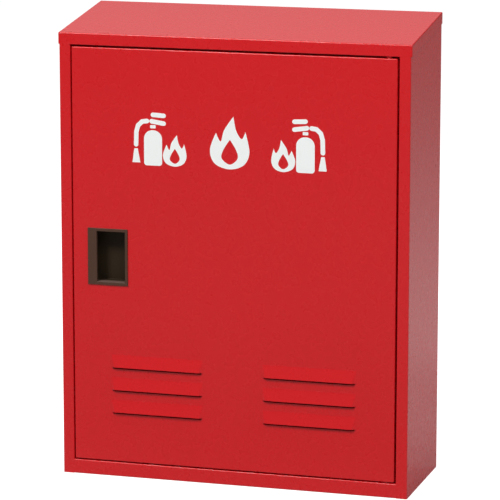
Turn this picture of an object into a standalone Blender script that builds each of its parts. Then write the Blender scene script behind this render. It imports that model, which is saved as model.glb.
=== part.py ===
"""Sheet-steel cabinet for two fire extinguishers, with an inset louvred door on pivot pins.

Metres, +Z up. The front faces -Y, the hinge is on the +X side, and the origin is on the
floor under the middle of the whole outline, louvres included.
"""

import math

import bmesh
import bpy
from mathutils import Matrix, Vector

# Box
BODY_WIDTH = 0.498
BODY_DEPTH = 0.178
FRONT_HEIGHT = 0.625
ROOF_RISE = 0.025
SHEET = 0.0012
BEND = 0.0015
SEAM = 0.0003

# Frame round the door
STILE = 0.0160
LID_FLANGE = 0.016
RAIL_HEIGHT = 0.0203
REBATE = 0.017
STOP_LIP = 0.012
STOP_LEG = 0.010
RAIL_FOOT = 0.013
HEAD_UPSTAND = 0.011

# Back
WALL_HOLE = 0.009
WALL_HOLE_INSET = 0.080
WALL_HOLE_LOW = 0.100
WALL_HOLE_DROP = 0.090

# Door and the gaps round it
DOOR_DEPTH = 0.015
GAP_HANDLE_SIDE = 0.0017
GAP_HINGE_SIDE = 0.0024
GAP_TOP = 0.0030
GAP_BOTTOM = 0.0017

# Pivot pins
PIN_INSET = 0.0131
PIN_SETBACK = 0.0065
PIN_RADIUS = 0.0025
COLLAR_RADIUS = 0.0043
PIN_HEAD_RADIUS = 0.0035
PIN_HEAD_HEIGHT = 0.0020
PIN_HEAD_ROOM = 0.0010
PIN_TIP = 0.0030
HINGE_PLATE_LENGTH = 0.030
HINGE_PLATE_WIDTH = 0.0105
HINGE_PLATE_THICKNESS = 0.0030

# Louvres, three over one another in two groups
LOUVRE_WIDTH = 0.1345
LOUVRE_HEIGHT = 0.0160
LOUVRE_REACH = 0.0040
LOUVRE_STEP = 0.0014
LOUVRE_END = 0.0024
LOUVRE_RIDGE = 0.0011
LOUVRE_PITCH = 0.0323
LOUVRE_ROWS = 3
LOUVRE_CLEAR = 0.0710
LOUVRE_OFFSET = 0.1097
SLOT_DROP = 0.0026

# Handle cup
HANDLE_INSET = 0.0510
BEZEL_WIDTH = 0.0583
BEZEL_HEIGHT = 0.0799
BEZEL_PROUD = 0.0014
BEZEL_SIDE = 0.0040
BEZEL_END = 0.0042
GRIP_LIP = 0.0131
CUP_DEPTH = 0.0230
CUP_WALL = 0.0020
LIP_THICKNESS = 0.0030
RETAINER_MARGIN = 0.0060
RETAINER_THICKNESS = 0.0020

# Door stiffener
STIFFENER_WIDTH = 0.036
STIFFENER_FLANGE = 0.010
STIFFENER_RISE = 0.010
STIFFENER_END = 0.020

# Magnet catch, strike and buffers
CATCH_RISE = 0.105
CATCH_LENGTH = 0.046
CATCH_WIDTH = 0.014
CATCH_BACK = 0.014
CATCH_EAR = 0.0030
CATCH_EAR_WIDTH = 0.0090
POLE_THICKNESS = 0.0010
STRIKE_LENGTH = 0.040
STRIKE_REACH = 0.024
STRIKE_LEG = 0.010
BUFFER_RADIUS = 0.0045
BUFFER_INSET = 0.078

# Derived planes and edges
BACK_HEIGHT = FRONT_HEIGHT + ROOF_RISE
SLOPE = math.atan2(ROOF_RISE, BODY_DEPTH)
HALF = BODY_WIDTH / 2
FRONT = (LOUVRE_REACH - BODY_DEPTH) / 2
BACK = FRONT + BODY_DEPTH
LID_HALF = HALF + SEAM + SHEET
INNER_HALF = HALF - SHEET - SEAM
OPENING_HALF = HALF - STILE
OPENING_TOP = FRONT_HEIGHT - LID_FLANGE
STOP_PLANE = FRONT + REBATE
RETURN_END = STOP_PLANE - BEND - SEAM
FLOOR_LEVEL = RAIL_HEIGHT - 2 * SHEET - 2 * SEAM
DOOR_LEFT = -OPENING_HALF + GAP_HANDLE_SIDE
DOOR_RIGHT = OPENING_HALF - GAP_HINGE_SIDE
DOOR_BOTTOM = RAIL_HEIGHT + GAP_BOTTOM
DOOR_TOP = OPENING_TOP - GAP_TOP
DOOR_BACK = FRONT + DOOR_DEPTH
HANDLE_X = DOOR_LEFT + HANDLE_INSET
HANDLE_Z = (DOOR_BOTTOM + DOOR_TOP) / 2
CATCH_Z = HANDLE_Z + CATCH_RISE
PIN_X = DOOR_RIGHT - PIN_INSET
PIN_Y = FRONT + PIN_SETBACK
PIN_HOLE = PIN_RADIUS + SEAM
SWING = math.hypot(PIN_INSET, DOOR_DEPTH - PIN_SETBACK)
LIP_END = PIN_X - SWING - 0.005
STOP_INNER = -OPENING_HALF + STOP_LIP

EXTRA = 0.010


def clear_scene():
    for obj in list(bpy.data.objects):
        bpy.data.objects.remove(obj, do_unlink=True)


def make_collection(name):
    made = bpy.data.collections.new(name)
    bpy.context.scene.collection.children.link(made)
    return made


def make_material(name, colour, roughness, metallic):
    made = bpy.data.materials.new(name)
    made.use_nodes = True
    shader = made.node_tree.nodes["Principled BSDF"]
    shader.inputs["Base Color"].default_value = (*colour, 1.0)
    shader.inputs["Roughness"].default_value = roughness
    shader.inputs["Metallic"].default_value = metallic
    return made


clear_scene()
PARTS = make_collection("fire_extinguisher_cabinet")
CUTTERS = make_collection("cutters")

RED = make_material("red_paint", (0.58, 0.020, 0.022), 0.38, 0.0)
BROWN = make_material("brown_plastic", (0.060, 0.040, 0.028), 0.50, 0.0)
ZINC = make_material("zinc_steel", (0.56, 0.56, 0.55), 0.38, 1.0)
BLACK = make_material("black_plastic", (0.020, 0.020, 0.022), 0.45, 0.0)
RUBBER = make_material("grey_rubber", (0.060, 0.060, 0.062), 0.80, 0.0)


def to_object(name, bm, material=None):
    mesh = bpy.data.meshes.new(name)
    bm.to_mesh(mesh)
    bm.free()
    obj = bpy.data.objects.new(name, mesh)
    if material is None:
        CUTTERS.objects.link(obj)
        obj.hide_render = True
        obj.display_type = "WIRE"
    else:
        PARTS.objects.link(obj)
        mesh.materials.append(material)
    return obj


def add_box(bm, low, high):
    """A box between two corners, given as (x, y, z)."""
    low = Vector(low)
    high = Vector(high)
    made = bmesh.ops.create_cube(bm, size=1.0)["verts"]
    bmesh.ops.scale(bm, vec=high - low, verts=made)
    bmesh.ops.translate(bm, vec=(low + high) / 2, verts=made)
    return made


def box_cutter(name, *corner_pairs):
    bm = bmesh.new()
    for low, high in corner_pairs:
        add_box(bm, low, high)
    return to_object(name, bm)


def add_rod(bm, radius, start, end, segments=32):
    """A cylinder from one point to another."""
    start = Vector(start)
    end = Vector(end)
    made = bmesh.ops.create_cone(
        bm, cap_ends=True, segments=segments, radius1=radius, radius2=radius, depth=(end - start).length
    )["verts"]
    turn = (end - start).to_track_quat("Z", "Y").to_matrix()
    bmesh.ops.rotate(bm, cent=(0, 0, 0), matrix=turn, verts=made)
    bmesh.ops.translate(bm, vec=(start + end) / 2, verts=made)
    return made


def rod_cutter(name, radius, *end_pairs):
    bm = bmesh.new()
    for start, end in end_pairs:
        add_rod(bm, radius, start, end)
    return to_object(name, bm)


def bevel(obj, width, segments=3, angle=30.0):
    made = obj.modifiers.new("bevel", "BEVEL")
    made.width = width
    made.segments = segments
    made.limit_method = "ANGLE"
    made.angle_limit = math.radians(angle)
    made.use_clamp_overlap = False
    return made


def shell(obj, thickness):
    made = obj.modifiers.new("shell", "SOLIDIFY")
    made.thickness = thickness
    made.offset = -1.0
    made.use_even_offset = True
    return made


def boolean(obj, other, operation):
    made = obj.modifiers.new(operation.lower(), "BOOLEAN")
    made.operation = operation
    made.solver = "EXACT"
    made.object = other
    return made


def cut(obj, *others):
    for other in others:
        boolean(obj, other, "DIFFERENCE")
    return obj


def fuse(obj, *others):
    for other in others:
        boolean(obj, other, "UNION")
    return obj


def folded(name, corners, start, end, material, thickness=SHEET, mirrored=False):
    """Sheet folded along corner points, its thickness on the left of the way along them."""
    bm = bmesh.new()
    points = [bm.verts.new(corner) for corner in corners]
    edges = [bm.edges.new(pair) for pair in zip(points, points[1:])]
    bmesh.ops.translate(bm, vec=start, verts=points)
    grown = bmesh.ops.extrude_edge_only(bm, edges=edges)["geom"]
    raised = [item for item in grown if isinstance(item, bmesh.types.BMVert)]
    bmesh.ops.translate(bm, vec=Vector(end) - Vector(start), verts=raised)
    right = (Vector(corners[1]) - Vector(corners[0])).cross(Vector(end) - Vector(start))
    bm.normal_update()
    first = edges[0].link_faces[0]
    if first.normal.dot(right) < 0:
        bmesh.ops.reverse_faces(bm, faces=bm.faces[:])
    if mirrored:
        bmesh.ops.scale(bm, vec=(-1, 1, 1), verts=bm.verts[:])
        bmesh.ops.reverse_faces(bm, faces=bm.faces[:])
    obj = to_object(name, bm, material)
    bevel(obj, BEND)
    shell(obj, thickness)
    return obj


def pan(name, low, high, open_sides, material, rise=0.0):
    """A tray of folded sheet between two corners, without the walls on its open sides."""
    bm = bmesh.new()
    add_box(bm, low, high)
    bm.normal_update()
    gone = [face for face in bm.faces for side in open_sides if face.normal.dot(Vector(side)) > 0.9]
    bmesh.ops.delete(bm, geom=gone, context="FACES")
    rear = [vert for vert in bm.verts if vert.co.y > (low[1] + high[1]) / 2]
    bmesh.ops.translate(bm, vec=(0, 0, rise), verts=rear)
    obj = to_object(name, bm, material)
    bevel(obj, BEND)
    shell(obj, SHEET)
    return obj


def turned(name, profile, place, material):
    """A turned piece about Z, from (radius, height) points that run from top to bottom."""
    bm = bmesh.new()
    points = [bm.verts.new((radius, 0, height)) for radius, height in profile]
    for pair in zip(points, points[1:]):
        bm.edges.new(pair)
    obj = to_object(name, bm, material)
    obj.location = place
    made = obj.modifiers.new("turn", "SCREW")
    made.axis = "Z"
    made.angle = math.tau
    made.steps = 32
    made.render_steps = 32
    made.use_merge_vertices = True
    made.merge_threshold = 0.00005
    made.use_smooth_shade = True
    return obj


# Roof line and notches that the lid fills
def roof_line_cutter():
    bm = bmesh.new()
    reach = BODY_DEPTH
    made = add_box(bm, (-LID_HALF - EXTRA, -EXTRA, 0), (LID_HALF + EXTRA, BODY_DEPTH + reach, reach))
    bmesh.ops.rotate(bm, cent=(0, 0, 0), matrix=Matrix.Rotation(SLOPE, 3, "X"), verts=made)
    drop = (SHEET + SEAM) / math.cos(SLOPE)
    bmesh.ops.translate(bm, vec=(0, FRONT, FRONT_HEIGHT - drop), verts=made)
    return to_object("roof_line_cutter", bm)


def lid_notch_cutter():
    top = BACK_HEIGHT + EXTRA
    wide = LID_HALF + EXTRA
    front_notch = (
        (-wide, FRONT - EXTRA, OPENING_TOP - SEAM),
        (wide, FRONT + SHEET + SEAM, top),
    )
    rear_notch = (
        (-wide, BACK - SHEET - SEAM, BACK_HEIGHT - LID_FLANGE - SEAM),
        (wide, BACK + EXTRA, top),
    )
    return box_cutter("lid_notch_cutter", front_notch, rear_notch)


ROOF_LINE = roof_line_cutter()
LID_NOTCH = lid_notch_cutter()


def side_panel(name, mirrored):
    """One side with its front stile and the return into the opening."""
    corners = [
        (-HALF, BACK, 0),
        (-HALF, FRONT, 0),
        (-OPENING_HALF, FRONT, 0),
        (-OPENING_HALF, RETURN_END, 0),
    ]
    obj = folded(name, corners, (0, 0, 0), (0, 0, BACK_HEIGHT), RED, mirrored=mirrored)
    return cut(obj, ROOF_LINE, LID_NOTCH)


def back_panel():
    """The flat back, welded by its edges between the sides and under the lid's rear flange."""
    top = BACK_HEIGHT - LID_FLANGE - SEAM
    bm = bmesh.new()
    add_box(bm, (-INNER_HALF, BACK - SHEET, 0), (INNER_HALF, BACK, top))
    obj = to_object("back_panel", bm, RED)
    places = [
        (x, z)
        for x in (-HALF + WALL_HOLE_INSET, HALF - WALL_HOLE_INSET)
        for z in (WALL_HOLE_LOW, BACK_HEIGHT - WALL_HOLE_DROP)
    ]
    rods = [((x, BACK - EXTRA, z), (x, BACK + EXTRA, z)) for x, z in places]
    return cut(obj, rod_cutter("wall_hole_cutter", WALL_HOLE / 2, *rods))


def floor_pan():
    """The raised floor, flanged down at its sides and back, with a hole over the lower pin's head."""
    front = FRONT + SHEET + SEAM
    rear = BACK - SHEET - SEAM
    open_sides = ((0, 0, -1), (0, -1, 0))
    obj = pan("floor_pan", (-INNER_HALF, front, 0), (INNER_HALF, rear, FLOOR_LEVEL), open_sides, RED)
    inner = OPENING_HALF - SEAM
    near = front - EXTRA
    far = RETURN_END + SEAM
    left_notch = ((-HALF - EXTRA, near, -EXTRA), (-inner, far, FLOOR_LEVEL + EXTRA))
    right_notch = ((inner, near, -EXTRA), (HALF + EXTRA, far, FLOOR_LEVEL + EXTRA))
    head_room = ((PIN_X, PIN_Y, FLOOR_LEVEL - EXTRA), (PIN_X, PIN_Y, FLOOR_LEVEL + EXTRA))
    return cut(
        obj,
        box_cutter("floor_corner_cutter", left_notch, right_notch),
        rod_cutter("floor_head_cutter", PIN_HEAD_RADIUS + PIN_HEAD_ROOM, head_room),
    )


def bottom_rail():
    corners = [
        (0, RETURN_END, RAIL_HEIGHT),
        (0, FRONT, RAIL_HEIGHT),
        (0, FRONT, 0),
        (0, FRONT + RAIL_FOOT, 0),
    ]
    half = OPENING_HALF - SEAM
    obj = folded("bottom_rail", corners, (-half, 0, 0), (half, 0, 0), RED)
    hole = ((PIN_X, PIN_Y, RAIL_HEIGHT - EXTRA), (PIN_X, PIN_Y, RAIL_HEIGHT + EXTRA))
    return cut(obj, rod_cutter("lower_pin_hole_cutter", PIN_HOLE, hole))


def head_rail():
    front = FRONT + SHEET + SEAM
    corners = [
        (0, front, OPENING_TOP + HEAD_UPSTAND),
        (0, front, OPENING_TOP),
        (0, RETURN_END, OPENING_TOP),
    ]
    half = OPENING_HALF - SEAM
    obj = folded("head_rail", corners, (-half, 0, 0), (half, 0, 0), RED)
    hole = ((PIN_X, PIN_Y, OPENING_TOP - EXTRA), (PIN_X, PIN_Y, OPENING_TOP + EXTRA))
    return cut(obj, rod_cutter("upper_pin_hole_cutter", PIN_HOLE, hole))


def side_stop():
    """The angle behind the left stile's return, that the door's free edge shuts against."""
    outer = -OPENING_HALF - SHEET - SEAM
    corners = [(outer, STOP_PLANE - STOP_LEG, 0), (outer, STOP_PLANE, 0), (STOP_INNER, STOP_PLANE, 0)]
    start = (0, 0, RAIL_HEIGHT + SEAM)
    end = (0, 0, OPENING_TOP - SEAM)
    return folded("side_stop", corners, start, end, RED)


def head_stop():
    """The angle over the head rail. It ends short of the space that the door's hinge edge sweeps."""
    level = OPENING_TOP + SHEET + SEAM
    corners = [
        (0, STOP_PLANE - STOP_LEG, level),
        (0, STOP_PLANE, level),
        (0, STOP_PLANE, OPENING_TOP - STOP_LIP),
    ]
    return folded("head_stop", corners, (STOP_INNER + SEAM, 0, 0), (LIP_END, 0, 0), RED)


def sill_stop():
    """The angle under the bottom rail's sill, as long as the head stop."""
    level = RAIL_HEIGHT - SHEET - SEAM
    corners = [
        (0, STOP_PLANE, RAIL_HEIGHT + STOP_LIP),
        (0, STOP_PLANE, level),
        (0, STOP_PLANE - STOP_LEG, level),
    ]
    return folded("sill_stop", corners, (STOP_INNER + SEAM, 0, 0), (LIP_END, 0, 0), RED)


def roof_lid():
    low = (-LID_HALF, FRONT, FRONT_HEIGHT - LID_FLANGE)
    high = (LID_HALF, BACK, FRONT_HEIGHT)
    return pan("roof_lid", low, high, ((0, 0, -1),), RED, rise=ROOF_RISE)


def pivot_pin(name, upper):
    """A pin headed inside the rail, with a collar that spaces the door from the rail."""
    gap = GAP_TOP if upper else GAP_BOTTOM
    tip = -gap - SHEET - 2 * SEAM - HINGE_PLATE_THICKNESS - PIN_TIP
    chamfer = PIN_RADIUS / 3
    profile = [
        (0, SHEET + SEAM + PIN_HEAD_HEIGHT),
        (PIN_HEAD_RADIUS, SHEET + SEAM + PIN_HEAD_HEIGHT),
        (PIN_HEAD_RADIUS, SHEET + SEAM),
        (PIN_RADIUS, SHEET + SEAM),
        (PIN_RADIUS, -SEAM),
        (COLLAR_RADIUS, -SEAM),
        (COLLAR_RADIUS, SEAM - gap),
        (PIN_RADIUS, SEAM - gap),
        (PIN_RADIUS, tip + chamfer),
        (PIN_RADIUS - chamfer, tip),
        (0, tip),
    ]
    if upper:
        return turned(name, profile, (PIN_X, PIN_Y, OPENING_TOP), ZINC)
    flipped = [(radius, -height) for radius, height in reversed(profile)]
    return turned(name, flipped, (PIN_X, PIN_Y, RAIL_HEIGHT), ZINC)


def magnet_catch():
    lip_edge = STOP_INNER
    half = CATCH_LENGTH / 2
    face = DOOR_BACK + SEAM + POLE_THICKNESS + SEAM
    ear_front = STOP_PLANE + SHEET + SEAM
    bm = bmesh.new()
    low = (lip_edge + SEAM, face, CATCH_Z - half)
    high = (lip_edge + SEAM + CATCH_WIDTH, ear_front + CATCH_BACK, CATCH_Z + half)
    add_box(bm, low, high)
    obj = to_object("magnet_catch", bm, BLACK)
    bm = bmesh.new()
    low = (lip_edge - CATCH_EAR_WIDTH, ear_front, CATCH_Z - half / 2)
    high = (lip_edge + CATCH_WIDTH / 2, ear_front + CATCH_EAR, CATCH_Z + half / 2)
    add_box(bm, low, high)
    fuse(obj, to_object("catch_ear", bm))
    bevel(obj, 0.0006, segments=2)
    return obj


def magnet_pole():
    lip_edge = STOP_INNER
    half = CATCH_LENGTH / 2 - 0.004
    bm = bmesh.new()
    low = (lip_edge + SEAM + CATCH_WIDTH / 4, DOOR_BACK + SEAM, CATCH_Z - half)
    high = (lip_edge + SEAM + CATCH_WIDTH * 3 / 4, DOOR_BACK + SEAM + POLE_THICKNESS, CATCH_Z + half)
    add_box(bm, low, high)
    return to_object("magnet_pole", bm, ZINC)


def buffer(name, height):
    """A rubber button on the stop lip, that the door's edge closes on."""
    bm = bmesh.new()
    x = STOP_INNER - BUFFER_RADIUS - BEND
    start = (x, STOP_PLANE - SEAM, height)
    end = (x, DOOR_BACK + SEAM, height)
    add_rod(bm, BUFFER_RADIUS, start, end)
    return to_object(name, bm, RUBBER)


# Stamped louvres
def hood_mesh(inside, drop, depth):
    """A ramp that leaves the door's plane by a small step and reaches its lip below, between sloped ends.

    The hollow in it is the same form, one sheet further in, that goes on down through the slot.
    """
    bm = bmesh.new()
    slant = math.atan2(LOUVRE_REACH - LOUVRE_STEP, LOUVRE_HEIGHT)
    wall = SHEET if inside else 0.0
    half = LOUVRE_WIDTH / 2 - wall
    verts = add_box(bm, (-half, -LOUVRE_REACH, -drop), (half, depth, LOUVRE_HEIGHT))
    for vert in verts:
        upper = vert.co.z > 0
        if vert.co.y < 0:
            vert.co.y = wall / math.cos(slant) - (LOUVRE_STEP if upper else LOUVRE_REACH)
            vert.co.x -= math.copysign(LOUVRE_STEP if upper else LOUVRE_END, vert.co.x)
    bm.normal_update()
    near = [edge for edge in bm.edges if all(vert.co.y < depth / 2 for vert in edge.verts)]
    ridges = [edge for edge in near if max(vert.co.z for vert in edge.verts) > 0]
    bmesh.ops.bevel(bm, geom=ridges, offset=LOUVRE_RIDGE, segments=3, profile=0.5, affect="EDGES")
    return bm


def louvre_set(name, inside, drop, depth):
    """All louvres of the door in one body set, for one Boolean."""
    whole = bmesh.new()
    for side in (-1, 1):
        for row in range(LOUVRE_ROWS):
            one = hood_mesh(inside, drop, depth)
            place = (side * LOUVRE_OFFSET, FRONT, DOOR_BOTTOM + LOUVRE_CLEAR + row * LOUVRE_PITCH)
            bmesh.ops.translate(one, vec=place, verts=one.verts[:])
            held = bpy.data.meshes.new("one_louvre")
            one.to_mesh(held)
            one.free()
            whole.from_mesh(held)
            bpy.data.meshes.remove(held)
    return to_object(name, whole)


def door_pan():
    low = (DOOR_LEFT, FRONT, DOOR_BOTTOM)
    high = (DOOR_RIGHT, DOOR_BACK, DOOR_TOP)
    obj = pan("door_pan", low, high, ((0, 1, 0),), RED)
    fuse(obj, louvre_set("louvre_hoods", inside=False, drop=0.0, depth=SHEET / 2))
    cut(obj, louvre_set("louvre_hollows", inside=True, drop=SLOT_DROP, depth=3 * SHEET))
    half_width = BEZEL_WIDTH / 2 - BEZEL_SIDE + CUP_WALL + SEAM
    window = (
        (HANDLE_X - BEZEL_WIDTH / 2 + CUP_WALL, FRONT - EXTRA, CUP_LOW - CUP_WALL - SEAM),
        (HANDLE_X + half_width, FRONT + EXTRA, CUP_HIGH + CUP_WALL + SEAM),
    )
    cut(obj, box_cutter("handle_window_cutter", window))
    rods = (
        ((PIN_X, PIN_Y, DOOR_BOTTOM - EXTRA), (PIN_X, PIN_Y, DOOR_BOTTOM + EXTRA)),
        ((PIN_X, PIN_Y, DOOR_TOP - EXTRA), (PIN_X, PIN_Y, DOOR_TOP + EXTRA)),
    )
    return cut(obj, rod_cutter("door_pin_hole_cutter", PIN_HOLE, *rods))


# The cup is hollow behind the grip lip, so that fingers hook round it
CUP_LEFT = HANDLE_X - BEZEL_WIDTH / 2 + 2 * CUP_WALL + SEAM
CUP_RIGHT = HANDLE_X + BEZEL_WIDTH / 2 - BEZEL_SIDE
CUP_LOW = HANDLE_Z - BEZEL_HEIGHT / 2 + BEZEL_END
CUP_HIGH = HANDLE_Z + BEZEL_HEIGHT / 2 - BEZEL_END


def handle_cup():
    bm = bmesh.new()
    low = (HANDLE_X - BEZEL_WIDTH / 2, FRONT - SEAM - BEZEL_PROUD, HANDLE_Z - BEZEL_HEIGHT / 2)
    high = (HANDLE_X + BEZEL_WIDTH / 2, FRONT - SEAM, HANDLE_Z + BEZEL_HEIGHT / 2)
    add_box(bm, low, high)
    obj = to_object("handle_cup", bm, BROWN)
    bevel(obj, 0.0005, segments=2)
    bm = bmesh.new()
    low = (CUP_LEFT - CUP_WALL, FRONT - SEAM - BEZEL_PROUD / 2, CUP_LOW - CUP_WALL)
    high = (CUP_RIGHT + CUP_WALL, FRONT + CUP_DEPTH + CUP_WALL, CUP_HIGH + CUP_WALL)
    add_box(bm, low, high)
    fuse(obj, to_object("cup_body", bm))
    hollow = ((CUP_LEFT, FRONT + LIP_THICKNESS, CUP_LOW), (CUP_RIGHT, FRONT + CUP_DEPTH, CUP_HIGH))
    mouth = (
        (HANDLE_X - BEZEL_WIDTH / 2 + GRIP_LIP, FRONT - EXTRA, CUP_LOW),
        (CUP_RIGHT, FRONT + CUP_DEPTH / 2, CUP_HIGH),
    )
    return cut(obj, box_cutter("cup_hollow_cutter", hollow), box_cutter("cup_mouth_cutter", mouth))


def handle_retainer():
    bm = bmesh.new()
    near = FRONT + SHEET + SEAM
    low = (CUP_LEFT - CUP_WALL - RETAINER_MARGIN, near, CUP_LOW - CUP_WALL - RETAINER_MARGIN)
    margin = CUP_WALL + RETAINER_MARGIN
    high = (CUP_RIGHT + margin, near + RETAINER_THICKNESS, CUP_HIGH + margin)
    add_box(bm, low, high)
    obj = to_object("handle_retainer", bm, BROWN)
    window = (
        (CUP_LEFT - CUP_WALL - SEAM, near - EXTRA, CUP_LOW - CUP_WALL - SEAM),
        (CUP_RIGHT + CUP_WALL + SEAM, near + EXTRA, CUP_HIGH + CUP_WALL + SEAM),
    )
    return cut(obj, box_cutter("retainer_window_cutter", window))


def door_stiffener():
    """A hat section down the middle of the door, behind its sheet."""
    near = FRONT + SHEET + SEAM
    far = near + STIFFENER_RISE
    half = STIFFENER_WIDTH / 2
    wide = half + STIFFENER_FLANGE
    corners = [(-wide, near, 0), (-half, near, 0), (-half, far, 0), (half, far, 0), (half, near, 0), (wide, near, 0)]
    start = (0, 0, DOOR_BOTTOM + STIFFENER_END)
    end = (0, 0, DOOR_TOP - STIFFENER_END)
    return folded("door_stiffener", corners, start, end, RED)


def hinge_plate(name, upper):
    bm = bmesh.new()
    near = FRONT + SHEET + SEAM
    if upper:
        bottom = DOOR_TOP - SHEET - SEAM - HINGE_PLATE_THICKNESS
    else:
        bottom = DOOR_BOTTOM + SHEET + SEAM
    right = DOOR_RIGHT - SHEET - SEAM
    low = (right - HINGE_PLATE_LENGTH, near, bottom)
    high = (right, near + HINGE_PLATE_WIDTH, bottom + HINGE_PLATE_THICKNESS)
    add_box(bm, low, high)
    obj = to_object(name, bm, ZINC)
    hole = ((PIN_X, PIN_Y, bottom - EXTRA), (PIN_X, PIN_Y, bottom + EXTRA))
    return cut(obj, rod_cutter(name + "_hole_cutter", PIN_HOLE, hole))


def catch_strike():
    """The angle inside the door's free edge that the magnet holds."""
    inside = DOOR_LEFT + SHEET + SEAM
    corners = [(inside + STRIKE_REACH, DOOR_BACK, 0), (inside, DOOR_BACK, 0), (inside, DOOR_BACK - STRIKE_LEG, 0)]
    start = (0, 0, CATCH_Z - STRIKE_LENGTH / 2)
    end = (0, 0, CATCH_Z + STRIKE_LENGTH / 2)
    return folded("catch_strike", corners, start, end, ZINC)


def main():
    side_panel("side_left", mirrored=False)
    side_panel("side_right", mirrored=True)
    back_panel()
    floor_pan()
    bottom_rail()
    head_rail()
    side_stop()
    head_stop()
    sill_stop()
    roof_lid()
    pivot_pin("pivot_pin_upper", upper=True)
    pivot_pin("pivot_pin_lower", upper=False)
    magnet_catch()
    magnet_pole()
    buffer("buffer_upper", DOOR_TOP - BUFFER_INSET)
    buffer("buffer_lower", DOOR_BOTTOM + BUFFER_INSET)
    on_door = [
        door_pan(),
        door_stiffener(),
        hinge_plate("hinge_plate_upper", upper=True),
        hinge_plate("hinge_plate_lower", upper=False),
        handle_cup(),
        handle_retainer(),
        catch_strike(),
    ]
    axis = bpy.data.objects.new("door", None)
    PARTS.objects.link(axis)
    axis.location = (PIN_X, PIN_Y, 0)
    for obj in on_door:
        obj.parent = axis
        obj.matrix_parent_inverse = Matrix.Translation((-PIN_X, -PIN_Y, 0))


main()
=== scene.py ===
"""The looks of a cabinet of red sheet steel with a recessed handle and pressed louvres."""

import logging
import math
from collections.abc import Callable
from dataclasses import dataclass, field
from enum import Enum

import bmesh
import bpy
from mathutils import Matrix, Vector


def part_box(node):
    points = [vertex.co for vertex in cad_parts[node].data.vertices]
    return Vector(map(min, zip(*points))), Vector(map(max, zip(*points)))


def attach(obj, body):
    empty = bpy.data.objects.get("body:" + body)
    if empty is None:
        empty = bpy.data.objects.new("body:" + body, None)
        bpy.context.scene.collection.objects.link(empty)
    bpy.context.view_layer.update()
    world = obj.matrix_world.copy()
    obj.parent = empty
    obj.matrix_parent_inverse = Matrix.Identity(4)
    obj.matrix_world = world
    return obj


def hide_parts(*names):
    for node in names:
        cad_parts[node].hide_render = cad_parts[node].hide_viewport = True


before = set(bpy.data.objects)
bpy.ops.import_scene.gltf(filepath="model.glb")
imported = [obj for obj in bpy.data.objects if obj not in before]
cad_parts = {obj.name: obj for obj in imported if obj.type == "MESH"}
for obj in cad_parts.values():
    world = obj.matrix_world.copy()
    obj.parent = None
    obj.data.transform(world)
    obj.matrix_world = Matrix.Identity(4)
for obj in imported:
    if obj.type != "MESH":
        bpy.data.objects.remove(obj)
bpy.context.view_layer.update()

SAME_PLACE = 0.00001
MILLIMETRES = 1000

LOG = logging.getLogger("cabinet")

Pair = tuple[float, float]
Triple = tuple[float, float, float]
Colour = Triple
Outline = list[Pair]
Socket = bpy.types.NodeSocket
Material = bpy.types.Material
Piece = bpy.types.Object
PlaceTest = Callable[[Vector], bool]
FaceTest = Callable[[Vector, Vector], bool]


class Body(Enum):
    """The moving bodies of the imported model."""

    CABINET = "cabinet"
    DOOR = "door"


class Slot(Enum):
    """The material slots of the record."""

    RED = "red_paint"
    BROWN = "brown_plastic"
    ZINC = "zinc_steel"
    BLACK = "black_plastic"
    RUBBER = "grey_rubber"


class Tree:
    """Adds and joins the nodes of one node tree."""

    def __init__(self, tree: bpy.types.NodeTree) -> None:
        """Takes up a node tree."""
        self.tree = tree

    def add(self, kind: str, **settings: object) -> bpy.types.Node:
        """Adds a node.

        Args:
            kind: the node's type.
            settings: its properties, by name.

        Returns:
            The new node.
        """
        node = self.tree.nodes.new(kind)
        for key, value in settings.items():
            setattr(node, key, value)
        return node

    def join(self, source: Socket, target: Socket) -> None:
        """Joins an output to an input."""
        self.tree.links.new(source, target)

    def axis(self, vector: Socket, name: str) -> Socket:
        """Takes one axis out of a vector.

        Args:
            vector: the socket with the vector.
            name: X, Y or Z.

        Returns:
            The socket with that axis.
        """
        parts = self.add("ShaderNodeSeparateXYZ")
        self.join(vector, parts.inputs["Vector"])
        return parts.outputs[name]

    def span(self, value: Socket, low: float, high: float, ends: Pair = (0.0, 1.0)) -> Socket:
        """Maps a value to low..high.

        Args:
            value: the socket to map.
            low: the result at the first end.
            high: the result at the second end.
            ends: the values that give low and high.

        Returns:
            The mapped socket.
        """
        node = self.add("ShaderNodeMapRange")
        node.inputs["From Min"].default_value, node.inputs["From Max"].default_value = ends
        node.inputs["To Min"].default_value = low
        node.inputs["To Max"].default_value = high
        self.join(value, node.inputs["Value"])
        return node.outputs["Result"]


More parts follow.
